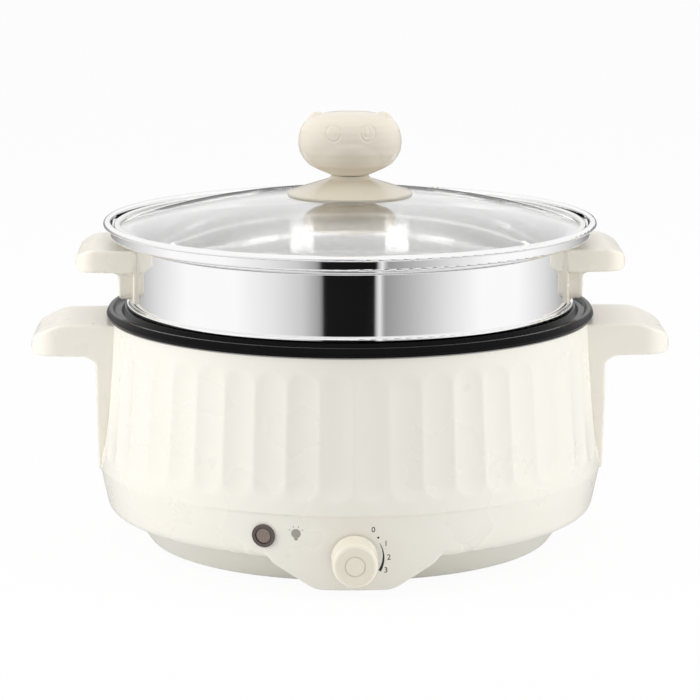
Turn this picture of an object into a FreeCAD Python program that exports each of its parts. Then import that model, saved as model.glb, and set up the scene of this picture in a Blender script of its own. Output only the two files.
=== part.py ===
import FreeCAD, Part
import math
import os

# Millimetres. The pot's axis is Z, the floor is Z = 0, and the control panel faces -Y.
V = FreeCAD.Vector
UP = V(0, 0, 1)
OUT_X = V(1, 0, 0)
FRONT = V(0, -1, 0)
BACK = V(0, 1, 0)
REACH = 400.0

# Gaps between pieces
fit_gap = 0.2
seat_gap = 0.25
running_gap = 0.05

# Casing
casing_top_z = 131.5
casing_top_r = 138.0
belly_r = 144.7
belly_z = 47.0
lip_z = 20.6
lip_outer_r = 139.2
lip_inner_r = 127.9
casing_wall = 2.4
lip_bend_r = 5.0
belly_bend_r = 6.0
flute_count = 48
flute_low_z = 54.0
flute_high_z = 124.0
flute_depth = 0.9
flute_curve_r = 72.0
flute_end_rise = 1.44
flute_straight_share = 0.55

# Control panel: a flatter face on the belly that hangs below the lip as an apron
panel_axis_y = 6.0
panel_top_z = 47.0
panel_top_r = 149.3
panel_low_z = 4.2
panel_low_r = 145.0
panel_half_width = 80.0
apron_lip_half_width = 49.6
apron_foot_half_width = 22.0
apron_slope_top_z = 30.0
apron_corner_r = 18.0

# Base cover, feet and screws
foot_height = 3.2
cover_floor_r = 115.5
cover_wall = 2.2
cover_rim_height = 4.4
foot_r = 9.0
foot_ring_r = 88.0
foot_stem_r = 3.0
foot_stem_height = 3.6
foot_count = 4
boss_ring_r = 104.0
boss_r = 5.0
boss_top_z = 40.0
boss_rib_low_z = 26.0
boss_rib_width = 3.0
screw_r = 1.6
screw_head_r = 3.6
screw_head_height = 1.8
screw_length = 20.0
vent_ring_r = 30.0
vent_length = 30.0
vent_width = 3.0
vent_count = 12

# Pan, fixed in the casing
pan_rim_r = 140.0
pan_floor_z = 50.2
pan_wall = 2.2
pan_floor_r = 117.0
pan_corner_r = 22.0
pan_mouth_r = 125.6
pan_rim_low_z = 132.3
pan_rim_z = 134.4
crest_z = 138.5
crest_inner_r = 127.0
crest_outer_r = 129.2
channel_z = 135.5
channel_inner_r = 131.2
channel_outer_r = 134.6
curl_z = 137.5
curl_inner_r = 136.2
curl_outer_r = 138.4

# Heater under the pan
plate_r = 68.0
plate_thickness = 6.0
element_ring_r = 54.0
element_r = 4.2
element_sweep = 310.0
element_leg = 12.0
element_bend_r = 7.0
terminal_length = 9.0
terminal_width = 5.0
terminal_thickness = 0.8
stud_ring_r = 76.0
stud_r = 3.0
stud_count = 3
stud_seat_height = 4.0
shield_z = 28.5
shield_thickness = 1.0
shield_r = 84.0
shield_hole_r = 20.0
sleeve_r = 4.6
fuse_r = 2.6
fuse_length = 20.0
fuse_y = 30.0

# Thermostat, its shaft and the control knob
knob_z = 23.3
knob_base_r = 12.8
knob_face_r = 12.1
knob_length = 18.4
knob_edge_r = 2.6
knob_groove_r = 5.0
knob_groove_width = 0.7
knob_groove_depth = 0.5
knob_skirt_wall = 2.0
knob_bore_depth = 10.0
knob_stand_off = 0.4
shaft_r = 3.0
shaft_hole_gap = 0.8
thermostat_width = 26.0
thermostat_height = 22.0
thermostat_depth = 18.0
thermostat_front_y = -108.0
bracket_thickness = 1.2
bush_r = 5.0
bush_length = 8.0
bush_nut_r = 7.5
bush_nut_height = 2.4
bulb_r = 8.0
bulb_height = 6.0
capillary_r = 1.2
capillary_z = 24.0

# Indicator lamp
lamp_x = -49.0
lamp_z = 34.0
lamp_bezel_r = 6.5
lamp_hole_r = 5.6
lamp_lens_r = 4.6
lamp_lens_face_r = 3.96
lamp_proud = 1.1
lamp_lens_proud = 0.66
lamp_tube_depth = 5.0
neon_r = 3.0
neon_length = 14.0

# Power inlet at the back
inlet_z = 34.6
inlet_width = 30.0
inlet_height = 20.0
inlet_wall = 2.2
inlet_mouth_y = 157.9
inlet_rear_y = 128.0
inlet_socket_depth = 17.0
inlet_hood_border = 5.0
inlet_hood_y = 158.5
inlet_corner_r = 4.0
pin_width = 4.0
pin_thickness = 2.0
pin_spacing = 7.0
pin_length = 14.0
pin_tail = 9.0
pin_rise = 2.0

# Terminal block and wiring
block_y = 92.0
block_width = 30.0
block_depth = 12.0
block_height = 12.0
wire_r = 1.4
wire_bend_r = 6.0
wire_side_x = 54.4

# Casing handles
grip_top_z = 131.3
grip_tip_x = 182.2
grip_tip_low_z = 113.2
grip_tip_high_z = 124.0
grip_under_x = 151.0
grip_leg_x = 144.8
grip_leg_top_z = 110.0
grip_leg_low_z = 44.0
grip_half_depth = 36.0
grip_tip_half_depth = 31.0
grip_leg_half_depth = 20.0
grip_corner_r = 16.0
grip_flat_x = 165.0
grip_top_bend_r = 24.0
grip_nose_r = 9.0
grip_chin_r = 4.0
grip_under_bend_r = 6.0
grip_knee_r = 3.0
grip_foot_r = 2.0
grip_flare_z = 96.0
grip_flare_bend_r = 30.0
grip_leg_corner_r = 6.0
grip_wall = 3.0
grip_root_x = 118.0
grip_screw_y = 16.0
grip_screw_z = 121.0
grip_boss_r = 4.2
grip_boss_end_x = 168.0
grip_screw_length = 16.0

# Steamer
steamer_rim_r = 141.0
steamer_rim_z = 187.6
steamer_rim_low_z = 184.6
steamer_recess_r = 136.6
steamer_seat_z = 179.8
steamer_seat_r = 133.0
steamer_neck_r = 128.6
steamer_step_z = 176.6
steamer_wall_r = 126.2
steamer_sheet = 1.0
steamer_bead_r = 128.4
steamer_bead_z = 141.0
steamer_spigot_play = 2.1
steamer_floor_z = 125.0
steamer_hole_r = 2.5
steamer_hole_rings = 5
steamer_hole_pitch = 20.0

# Steamer handles
ear_top_z = 174.5
ear_tip_x = 156.0
ear_tip_high_z = 170.5
ear_under_z = 161.6
ear_leg_x = 131.2
ear_leg_low_z = 145.6
ear_half_depth = 38.0
ear_tip_half_depth = 33.0
ear_leg_half_depth = 34.0
ear_corner_r = 13.0
ear_flat_x = 147.0
ear_top_bend_r = 12.0
ear_nose_r = 5.0
ear_chin_r = 4.0
ear_knee_r = 3.0
ear_side_bend_r = 1.5
ear_side_knee_r = 2.0
ear_leg_corner_r = 5.0
ear_plate = 1.4
ear_plate_half_depth = 37.0
ear_plate_margin = 1.5
ear_screw_z = 153.0
ear_screw_head_depth = 1.6

# Lid
glass_top_z = 203.1
glass_sphere_r = 470.0
glass_thickness = 3.0
glass_r = 132.4
lid_ring_r = 135.0
lid_ring_window_r = 131.5
lid_ring_top_z = 185.75
lid_ring_sheet = 0.8
lid_skirt_play = 3.0
lid_skirt_low_z = 174.5
glass_hole_r = 4.2
vent_x = 55.0
vent_y = 75.0
vent_hole_r = 2.5
vent_eyelet_r = 5.0
vent_flange = 0.7

# Lid knob: a saucer with a neck, and a small round-eared animal head on it
saucer_r = 35.8
saucer_edge = 0.9
neck_low_r = 12.0
neck_low_z = 210.6
neck_r = 10.4
neck_z = 212.7
head_half_width = 29.5
head_wide_z = 230.8
head_cheek_r = 25.6
head_cheek_z = 221.6
head_brow_r = 28.2
head_brow_z = 239.0
head_crown_r = 22.0
head_crown_z = 246.0
head_top_z = 249.2
head_depth_share = 0.72
ear_ball_x = 18.2
ear_ball_z = 242.6
ear_ball_r = 6.2
knob_screw_r = 2.5
knob_screw_head_r = 5.5
knob_screw_head_height = 2.4
knob_screw_depth = 12.0
knob_washer_r = 11.0
knob_washer_thickness = 1.2


def upright(a, b):
    return V(a, 0, b)


def level(a, b):
    return V(a, b, 0)


def sideways(a, b):
    return V(0, a, b)


def rounded_face(corners, place):
    """A closed face through corners (a, b) or (a, b, radius), each rounded to its radius."""
    points = [place(corner[0], corner[1]) for corner in corners]
    bends = []
    for index, corner in enumerate(corners):
        here = points[index]
        if len(corner) == 2:
            bends.append((here, None, here))
            continue
        back = (points[index - 1] - here).normalize()
        ahead = (points[(index + 1) % len(points)] - here).normalize()
        half_angle = back.getAngle(ahead) / 2
        reach = corner[2] / math.tan(half_angle)
        inward = (back + ahead).normalize()
        middle = here + inward * (corner[2] / math.sin(half_angle) - corner[2])
        bends.append((here + back * reach, middle, here + ahead * reach))
    edges = []
    for index, (start, middle, finish) in enumerate(bends):
        if middle is not None:
            edges.append(Part.Arc(start, middle, finish).toShape())
        following = bends[(index + 1) % len(bends)][0]
        if (following - finish).Length > 1e-6:
            edges.append(Part.makeLine(finish, following))
    return Part.Face(Part.Wire(edges))


def turned(corners):
    """The corners, as radius and height, turned about the pot's axis."""
    return rounded_face(corners, upright).revolve(V(0, 0, 0), UP, 360)


def front_prism(corners, low_y, high_y):
    face = rounded_face(corners, upright)
    face.translate(V(0, low_y, 0))
    return face.extrude(V(0, high_y - low_y, 0))


def plan_prism(corners, low_z, high_z):
    face = rounded_face(corners, level)
    face.translate(V(0, 0, low_z))
    return face.extrude(V(0, 0, high_z - low_z))


def side_prism(corners, low_x, high_x):
    face = rounded_face(corners, sideways)
    face.translate(V(low_x, 0, 0))
    return face.extrude(V(high_x - low_x, 0, 0))


def block(low, high):
    return Part.makeBox(high[0] - low[0], high[1] - low[1], high[2] - low[2], V(*low))


def rod(radius, start, direction, length):
    return Part.makeCylinder(radius, length, start, direction)


def around(shape, angle):
    copy = shape.copy()
    copy.rotate(V(0, 0, 0), UP, angle)
    return copy


def repeated(shape, count, first_angle=0.0):
    """Copies of a shape evenly spaced about the pot's axis."""
    return [around(shape, first_angle + 360.0 * index / count) for index in range(count)]


def mirrored(shape):
    return shape.mirror(V(0, 0, 0), OUT_X)


def both_sides(right):
    return [right, mirrored(right)]


def save(name, shape):
    """Writes one node; a list is a group of separate solids."""
    if isinstance(shape, list):
        shape = Part.makeCompound(shape)
    shape.exportStep(os.path.join("parts", name + ".step"))


def casing_outside():
    """The casing's outer surface as a solid filled to the axis, without its flutes."""
    return turned(
        [
            (0, lip_z),
            (lip_outer_r, lip_z, lip_bend_r),
            (belly_r, belly_z, belly_bend_r),
            (casing_top_r, casing_top_z),
            (0, casing_top_z),
        ]
    )


def casing_hollow():
    """The room inside the casing, open at the top and through the lip."""
    return turned(
        [
            (0, lip_z - 1),
            (lip_inner_r, lip_z - 1),
            (lip_inner_r, lip_z + casing_wall),
            (lip_outer_r - casing_wall, lip_z + casing_wall, lip_bend_r - casing_wall),
            (belly_r - casing_wall, belly_z, belly_bend_r - casing_wall),
            (casing_top_r - casing_wall, casing_top_z),
            (casing_top_r - casing_wall, casing_top_z + 1),
            (0, casing_top_z + 1),
        ]
    )


def panel_body(inset):
    """The round body whose front is the control panel's face, drawn in by inset."""
    height = panel_top_z - panel_low_z
    return Part.makeCone(
        panel_low_r - inset, panel_top_r - inset, height, V(0, panel_axis_y, panel_low_z), UP
    )


def panel_face_y(z):
    """Where the panel's face stands on the pot's centre plane at a height."""
    share = (z - panel_low_z) / (panel_top_z - panel_low_z)
    return panel_axis_y - (panel_low_r + share * (panel_top_r - panel_low_r))


def apron_outline(inset):
    """The apron seen from the front: a trapezoid with a rounded foot."""
    slope = (lip_z - panel_low_z) / (apron_lip_half_width - apron_foot_half_width)
    top_half = apron_lip_half_width + (apron_slope_top_z - lip_z) / slope
    side_inset = inset / math.sin(math.atan(slope))
    foot_half = apron_foot_half_width - side_inset + inset / slope
    foot_z = panel_low_z + inset
    return front_prism(
        [
            (top_half - side_inset, apron_slope_top_z),
            (foot_half, foot_z, apron_corner_r),
            (-foot_half, foot_z, apron_corner_r),
            (side_inset - top_half, apron_slope_top_z),
        ],
        -REACH,
        -cover_floor_r + cover_wall,
    )


def cover_outside(grown):
    """The base cover's outer surface, filled, with a gap added round it."""
    return turned(
        [
            (0, foot_height - 1),
            (cover_floor_r + grown, foot_height - 1),
            (cover_floor_r + grown, foot_height),
            (lip_inner_r - fit_gap + grown, lip_z),
            (lip_inner_r - fit_gap + grown, lip_z + casing_wall),
            (0, lip_z + casing_wall),
        ]
    )


def flute_cutters():
    """One shallow hollow per flute, each kept to its own sector of the wall."""
    lean = math.atan((belly_r - casing_top_r) / (casing_top_z - belly_z))
    middle_z = (flute_low_z + flute_high_z) / 2
    half_height = (flute_high_z - flute_low_z) / 2
    wall_r = belly_r - (middle_z - belly_z) * math.tan(lean)
    tip_r = flute_curve_r - flute_end_rise
    outline = [
        (0, -half_height),
        (tip_r, -half_height),
        (flute_curve_r, -half_height * flute_straight_share, half_height),
        (flute_curve_r, half_height * flute_straight_share, half_height),
        (tip_r, half_height),
        (0, half_height),
    ]
    spindle = turned(outline)
    spindle.rotate(V(0, 0, 0), BACK, -math.degrees(lean))
    spindle.translate(V(wall_r + flute_curve_r - flute_depth, 0, middle_z))
    half_sector = math.pi / flute_count
    inner_r = casing_top_r - 2 * casing_wall
    outer_r = belly_r + casing_wall
    sector = plan_prism(
        [
            (inner_r * math.cos(half_sector), -inner_r * math.sin(half_sector)),
            (outer_r, -outer_r * math.tan(half_sector)),
            (outer_r, outer_r * math.tan(half_sector)),
            (inner_r * math.cos(half_sector), inner_r * math.sin(half_sector)),
        ],
        flute_low_z - 1,
        flute_high_z + 1,
    )
    return repeated(spindle.common(sector), flute_count, 180.0 / flute_count)


def casing_bosses():
    """Screw posts that stand on the base cover, each with a rib to the wall."""
    floor_z = foot_height + cover_wall
    post = rod(boss_r, V(boss_ring_r, 0, floor_z), UP, boss_top_z - floor_z)
    rib = block(
        (boss_ring_r, -boss_rib_width / 2, boss_rib_low_z),
        (belly_r, boss_rib_width / 2, boss_top_z),
    )
    hole = rod(screw_r, V(boss_ring_r, 0, floor_z), UP, screw_length)
    return repeated(post.fuse(rib).cut(hole), foot_count, 45.0)


def inlet_outline(border, low_y, high_y):
    """A rounded oblong on the inlet's centre, as large as the inlet with a border."""
    half_width = inlet_width / 2 + border
    half_height = inlet_height / 2 + border
    corner = max(inlet_corner_r + border, 1.0)
    return front_prism(
        [
            (half_width, inlet_z - half_height, corner),
            (half_width, inlet_z + half_height, corner),
            (-half_width, inlet_z + half_height, corner),
            (-half_width, inlet_z - half_height, corner),
        ],
        low_y,
        high_y,
    )


def lamp_axis():
    """The indicator's seat on the panel's face and the direction that it looks in."""
    slope = (panel_top_r - panel_low_r) / (panel_top_z - panel_low_z)
    radius = panel_low_r + slope * (lamp_z - panel_low_z)
    angle = math.asin(lamp_x / radius)
    outward = V(math.sin(angle), -math.cos(angle), 0)
    seat = V(0, panel_axis_y, lamp_z) + outward * radius
    return seat, (outward - UP * slope).normalize()


def outer_casing():
    body = casing_outside()
    front = block(
        (-panel_half_width, -REACH, lip_z - 1),
        (panel_half_width, -cover_floor_r + cover_wall, panel_top_z),
    )
    body = body.cut(front.cut(panel_body(0)))
    body = body.fuse(panel_body(0).common(apron_outline(0)))
    body = body.cut(casing_hollow())
    body = body.cut(panel_body(casing_wall).common(apron_outline(casing_wall)))
    body = body.cut(cover_outside(fit_gap))
    body = body.cut(flute_cutters())
    ribs = Part.makeCompound(casing_bosses()).common(casing_outside().fuse(cover_outside(0)))
    body = body.fuse(ribs.Solids)
    body = body.cut(shaft_hole())
    body = body.cut(inlet_outline(fit_gap, inlet_rear_y - 1, REACH))
    seat, outward = lamp_axis()
    body = body.cut(rod(lamp_hole_r, seat - outward * lamp_tube_depth * 2, outward, REACH))
    return body.cut(grip_screw_holes()).removeSplitter()


def shaft_hole():
    return rod(shaft_r + shaft_hole_gap, V(0, -cover_floor_r, knob_z), FRONT, REACH)


def grip_screw_holes():
    holes = []
    for y in (-grip_screw_y, grip_screw_y):
        start = V(grip_root_x, y, grip_screw_z)
        holes += both_sides(rod(screw_r, start, OUT_X, casing_top_r - grip_root_x + casing_wall))
    return holes


def base_cover():
    floor_z = foot_height
    top_r = lip_inner_r - fit_gap
    dish = turned(
        [
            (0, floor_z),
            (cover_floor_r, floor_z, 4),
            (top_r, lip_z),
            (top_r, lip_z + cover_rim_height),
            (top_r - cover_wall, lip_z + cover_rim_height),
            (top_r - cover_wall, lip_z),
            (cover_floor_r - cover_wall / 2, floor_z + cover_wall, 3),
            (0, floor_z + cover_wall),
        ]
    )
    seat = rod(stud_r * 2, V(stud_ring_r, 0, floor_z), UP, cover_wall + stud_seat_height)
    dish = dish.fuse(repeated(seat, stud_count, 90.0))
    holes = repeated(rod(screw_r, V(boss_ring_r, 0, 0), UP, 3 * floor_z), foot_count, 45.0)
    holes += repeated(rod(foot_stem_r, V(foot_ring_r, 0, 0), UP, 3 * floor_z), foot_count, 45.0)
    holes += repeated(rod(screw_r, V(stud_ring_r, 0, 0), UP, boss_top_z), stud_count, 90.0)
    slot = block(
        (vent_ring_r, -vent_width / 2, 0),
        (vent_ring_r + vent_length, vent_width / 2, 3 * floor_z),
    )
    holes += repeated(slot, vent_count, 180.0 / vent_count)
    return dish.cut(holes).cut(shaft_hole())


def rubber_feet():
    pad = turned([(0, 0), (foot_r, 0, 0.8), (foot_r, foot_height), (0, foot_height)])
    stem = rod(foot_stem_r, V(0, 0, foot_height), UP, foot_stem_height)
    foot = pad.fuse(stem)
    foot.translate(V(foot_ring_r, 0, 0))
    return repeated(foot, foot_count, 45.0)


def pan_head_screw(length):
    """A screw that points up, its head's flat face at the origin."""
    head = rod(screw_head_r, V(0, 0, -screw_head_height), UP, screw_head_height)
    return head.fuse(rod(screw_r, V(0, 0, 0), UP, length))


def base_screws():
    screw = pan_head_screw(cover_wall + screw_length)
    screw.translate(V(boss_ring_r, 0, foot_height))
    return repeated(screw, foot_count, 45.0)


def stud_foot_z():
    return foot_height + cover_wall + stud_seat_height


def pan_screws():
    screw = pan_head_screw(cover_wall + stud_seat_height + screw_length / 2)
    screw.translate(V(stud_ring_r, 0, foot_height))
    return repeated(screw, stud_count, 90.0)


def pan_studs():
    under = pan_floor_z - pan_wall
    stud = rod(stud_r, V(stud_ring_r, 0, stud_foot_z()), UP, under - stud_foot_z())
    bore = rod(screw_r, V(stud_ring_r, 0, stud_foot_z()), UP, screw_length / 2)
    return repeated(stud.cut(bore), stud_count, 90.0)


def spacer_sleeves():
    """Sleeves on the studs that hold the heat shield away from the pan."""
    low_z = shield_z + shield_thickness
    height = pan_floor_z - pan_wall - low_z
    sleeve = rod(sleeve_r, V(stud_ring_r, 0, low_z), UP, height)
    bore = rod(stud_r, V(stud_ring_r, 0, low_z), UP, height)
    return repeated(sleeve.cut(bore), stud_count, 90.0)


def shield_clips():
    """Push-on rings under the shield."""
    ring = rod(sleeve_r, V(stud_ring_r, 0, shield_z - shield_thickness), UP, shield_thickness)
    bore = rod(stud_r, V(stud_ring_r, 0, 0), UP, REACH)
    return repeated(ring.cut(bore), stud_count, 90.0)


def inner_pan():
    under_z = pan_floor_z - pan_wall
    rim_outer_r = crest_inner_r + fit_gap
    return turned(
        [
            (0, pan_floor_z),
            (pan_floor_r, pan_floor_z, pan_corner_r),
            (pan_mouth_r, crest_z - 4, 1.0),
            (crest_inner_r, crest_z, 0.8),
            (crest_outer_r, crest_z, 0.8),
            (channel_inner_r, channel_z, 0.8),
            (channel_outer_r, channel_z, 0.8),
            (curl_inner_r, curl_z, 0.8),
            (curl_outer_r, curl_z, 1.0),
            (pan_rim_r, pan_rim_z, 0.9),
            (pan_rim_r - 1, pan_rim_low_z, 0.6),
            (rim_outer_r + 0.5, pan_rim_low_z, 1.5),
            (pan_floor_r + pan_wall, under_z, pan_corner_r + pan_wall),
            (0, under_z),
        ]
    )


def pan_gasket():
    inner_r = casing_top_r - casing_wall
    return turned(
        [
            (inner_r, casing_top_z),
            (casing_top_r, casing_top_z),
            (casing_top_r, pan_rim_low_z),
            (inner_r, pan_rim_low_z),
        ]
    )


def element_z():
    return pan_floor_z - pan_wall - plate_thickness


def element_bend(side):
    """The start, middle and end of the bend where one end of the heating tube turns down."""
    angle = math.radians(90.0 + side * (360.0 - element_sweep) / 2)
    start = V(element_ring_r * math.cos(angle), element_ring_r * math.sin(angle), element_z())
    ahead = V(math.sin(angle), -math.cos(angle), 0) * side
    diagonal = (ahead - UP) * (element_bend_r / 2)
    bulge = (ahead + UP) * (element_bend_r * (math.sqrt(0.5) - 0.5))
    return start, start + diagonal + bulge, start + diagonal * 2


def element_foot(side):
    """The lowest point of the heating tube's leg on one side."""
    return element_bend(side)[2] - UP * (element_leg - element_bend_r)


def heating_element():
    """One tube: a ring open at the back whose two ends turn down as legs."""
    first, second = element_bend(1), element_bend(-1)
    far_point = V(0, -element_ring_r, element_z())
    path = Part.Wire(
        [
            Part.makeLine(element_foot(1), first[2]),
            Part.Arc(first[2], first[1], first[0]).toShape(),
            Part.Arc(first[0], far_point, second[0]).toShape(),
            Part.Arc(second[0], second[1], second[2]).toShape(),
            Part.makeLine(second[2], element_foot(-1)),
        ]
    )
    section = Part.Wire([Part.makeCircle(element_r, element_foot(1), UP)])
    return path.makePipeShell([section], True, False)


def heating_plate():
    plate = rod(plate_r, V(0, 0, element_z()), UP, plate_thickness)
    return plate.cut(heating_element())


def heater_terminals():
    blades = []
    for side in (-1, 1):
        foot = element_foot(side) - V(0, 0, terminal_length)
        half = V(terminal_width / 2, terminal_thickness / 2, 0)
        low = foot - half
        blades.append(
            Part.makeBox(terminal_width, terminal_thickness, terminal_length, low)
        )
    return blades


def heat_shield():
    disc = rod(shield_r, V(0, 0, shield_z), UP, shield_thickness)
    holes = [rod(shield_hole_r, V(0, 0, 0), UP, REACH)]
    holes += repeated(rod(stud_r, V(stud_ring_r, 0, 0), UP, REACH), stud_count, 90.0)
    for side in (-1, 1):
        foot = element_foot(side)
        holes.append(rod(element_r * 1.5, V(foot.x, foot.y, 0), UP, REACH))
    return disc.cut(holes)


def thermal_fuse():
    centre = V(-fuse_length / 2, fuse_y, element_z() - fuse_r)
    return rod(fuse_r, centre, OUT_X, fuse_length)


def fuse_clip():
    """A strap under the fuse, with a tab on the heating plate at each side."""
    plate_z = element_z()
    wrap = fuse_r + shield_thickness
    strap = block(
        (-fuse_length / 5, fuse_y - wrap, plate_z - 2 * fuse_r - shield_thickness),
        (fuse_length / 5, fuse_y + wrap, plate_z),
    )
    tabs = block(
        (-fuse_length / 5, fuse_y - 3 * wrap, plate_z - shield_thickness),
        (fuse_length / 5, fuse_y + 3 * wrap, plate_z),
    )
    return strap.fuse(tabs).cut(
        block(
            (-fuse_length, fuse_y - fuse_r, plate_z - 2 * fuse_r),
            (fuse_length, fuse_y + fuse_r, plate_z),
        )
    )


def thermostat_body():
    low_z = knob_z - thermostat_height / 2
    box = block(
        (-thermostat_width / 2, thermostat_front_y, low_z),
        (thermostat_width / 2, thermostat_front_y + thermostat_depth, low_z + thermostat_height),
    )
    start = V(0, thermostat_front_y, knob_z)
    box = box.fuse(rod(bush_r, start, FRONT, bush_length))
    bore_depth = bush_length + thermostat_depth / 2
    front = start + FRONT * bush_length
    return box.cut(rod(shaft_r + running_gap, front, BACK, bore_depth))


def thermostat_bracket():
    """An angle plate: the bush goes through it and its foot stands on the base cover."""
    floor_z = foot_height + cover_wall
    face_y = thermostat_front_y - bracket_thickness
    top_z = knob_z + thermostat_height / 2
    face = block(
        (-thermostat_width / 2, face_y, floor_z), (thermostat_width / 2, thermostat_front_y, top_z)
    )
    foot = block(
        (-thermostat_width / 2, face_y, floor_z),
        (thermostat_width / 2, face_y + thermostat_depth, floor_z + bracket_thickness),
    )
    return face.fuse(foot).cut(rod(bush_r, V(0, thermostat_front_y, knob_z), FRONT, REACH))


def bush_nut():
    start = V(0, thermostat_front_y - bracket_thickness, knob_z)
    corners = []
    for index in range(6):
        angle = math.radians(60 * index)
        corners.append((bush_nut_r * math.cos(angle), bush_nut_r * math.sin(angle) + knob_z))
    nut = front_prism(corners, start.y - bush_nut_height, start.y)
    return nut.cut(rod(bush_r, start, FRONT, REACH))


def bulb_low_z():
    return element_z() - bulb_height


def sensor_bulb():
    return rod(bulb_r, V(0, 0, bulb_low_z()), UP, bulb_height)


def capillary_tube():
    rear_y = thermostat_front_y + thermostat_depth
    return bent_tube(
        [V(0, 0, bulb_low_z()), V(0, 0, capillary_z), V(0, rear_y, capillary_z)], capillary_r
    )


def bent_tube(points, radius):
    """A tube through points, straight runs joined by tangent arcs."""
    edges = []
    here = points[0]
    for index in range(1, len(points) - 1):
        corner = points[index]
        back = (points[index - 1] - corner).normalize()
        ahead = (points[index + 1] - corner).normalize()
        half_angle = back.getAngle(ahead) / 2
        reach = wire_bend_r / math.tan(half_angle)
        inward = (back + ahead).normalize()
        middle = corner + inward * (wire_bend_r / math.sin(half_angle) - wire_bend_r)
        start = corner + back * reach
        finish = corner + ahead * reach
        edges.append(Part.makeLine(here, start))
        edges.append(Part.Arc(start, middle, finish).toShape())
        here = finish
    edges.append(Part.makeLine(here, points[-1]))
    path = Part.Wire(edges)
    section = Part.Wire([Part.makeCircle(radius, points[0], points[1] - points[0])])
    return path.makePipeShell([section], True, False)


def knob_seat_y():
    return panel_face_y(knob_z + knob_base_r) - knob_stand_off


def facing_front(shape, y):
    """Turns a shape made along +Z so that it points to the front from a place on the shaft."""
    shape.rotate(V(0, 0, 0), OUT_X, 90)
    shape.translate(V(0, y, knob_z))
    return shape


def control_knob():
    groove_out = knob_groove_r + knob_groove_width
    groove_floor = knob_length - knob_groove_depth
    shell = turned(
        [
            (0, 0),
            (knob_base_r, 0, 0.6),
            (knob_face_r, knob_length, knob_edge_r),
            (groove_out, knob_length),
            (groove_out, groove_floor),
            (knob_groove_r, groove_floor),
            (knob_groove_r, knob_length),
            (0, knob_length - knob_groove_depth),
        ]
    )
    hub_r = shaft_r + knob_skirt_wall
    hollow = turned(
        [
            (hub_r, -1),
            (knob_base_r - knob_skirt_wall, -1),
            (knob_face_r - knob_skirt_wall, knob_bore_depth, 1.0),
            (hub_r, knob_bore_depth),
        ]
    )
    bore = rod(shaft_r, V(0, 0, 0), UP, knob_bore_depth)
    return facing_front(shell.cut(hollow).cut(bore), knob_seat_y())


def thermostat_shaft():
    start = V(0, thermostat_front_y + thermostat_depth / 2 - seat_gap, knob_z)
    finish_y = knob_seat_y() - knob_bore_depth
    return rod(shaft_r, start, FRONT, start.y - finish_y)


def indicator_bezel():
    seat, outward = lamp_axis()
    flange = rod(lamp_bezel_r, seat, outward, lamp_proud)
    tube = rod(lamp_hole_r - fit_gap, seat - outward * lamp_tube_depth, outward, lamp_tube_depth)
    bore = rod(lamp_lens_r, seat - outward * lamp_tube_depth, outward, REACH)
    return flange.fuse(tube).cut(bore)


def indicator_lens():
    seat, outward = lamp_axis()
    lens = rod(lamp_lens_r, seat - outward * lamp_tube_depth, outward, lamp_tube_depth)
    return lens.fuse(rod(lamp_lens_face_r, seat, outward, lamp_lens_proud))


def neon_lamp():
    seat, outward = lamp_axis()
    start = seat - outward * (lamp_tube_depth + neon_length)
    return rod(neon_r, start, outward, neon_length)


def inlet_hood():
    """The frame round the inlet, seated on the casing."""
    frame = inlet_outline(inlet_hood_border, inlet_rear_y, inlet_hood_y)
    frame = frame.cut(casing_outside())
    return frame.cut(inlet_outline(fit_gap, inlet_rear_y - 1, REACH))


def power_inlet():
    body = inlet_outline(0, inlet_rear_y, inlet_mouth_y)
    socket_floor_y = inlet_mouth_y - inlet_socket_depth
    body = body.cut(inlet_outline(-inlet_wall, socket_floor_y, REACH))
    return body.cut(inlet_pins())


def pin_places():
    """The three pins' centres: two level, the earth pin higher."""
    return [
        (-pin_spacing, inlet_z - pin_rise),
        (0, inlet_z + pin_rise),
        (pin_spacing, inlet_z - pin_rise),
    ]


def inlet_pins():
    floor_y = inlet_mouth_y - inlet_socket_depth
    pins = []
    for x, z in pin_places():
        pins.append(
            block(
                (x - pin_thickness / 2, inlet_rear_y - pin_tail, z - pin_width / 2),
                (x + pin_thickness / 2, floor_y + pin_length, z + pin_width / 2),
            )
        )
    return pins


def terminal_block():
    floor_z = foot_height + cover_wall
    return block(
        (-block_width / 2, block_y - block_depth / 2, floor_z),
        (block_width / 2, block_y + block_depth / 2, floor_z + block_height),
    )


def inlet_wires():
    """Leads from the inlet's tails down to the back of the terminal block."""
    tail_y = inlet_rear_y - pin_tail
    rear_y = block_y + block_depth / 2
    middle_y = (tail_y + rear_y) / 2
    low_z = wire_level()
    leads = []
    for x, z in pin_places():
        points = [V(x, tail_y, z), V(x, middle_y, z), V(x, middle_y, low_z), V(x, rear_y, low_z)]
        leads.append(bent_tube(points, wire_r))
    return leads


def wire_level():
    """The height at which the leads leave the terminal block."""
    return foot_height + cover_wall + block_height / 2


def heater_wires():
    """Leads from the block's front to the blades of the heating tube."""
    front_y = block_y - block_depth / 2
    leads = []
    for side in (-1, 1):
        blade = element_foot(side) - UP * terminal_length
        start = V(blade.x / 3, front_y, wire_level())
        turn = V(blade.x / 3, front_y - 3 * wire_bend_r, wire_level())
        below = V(blade.x, blade.y, wire_level() - 2 * wire_r)
        leads.append(bent_tube([start, turn, below, blade], wire_r))
    return leads


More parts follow.
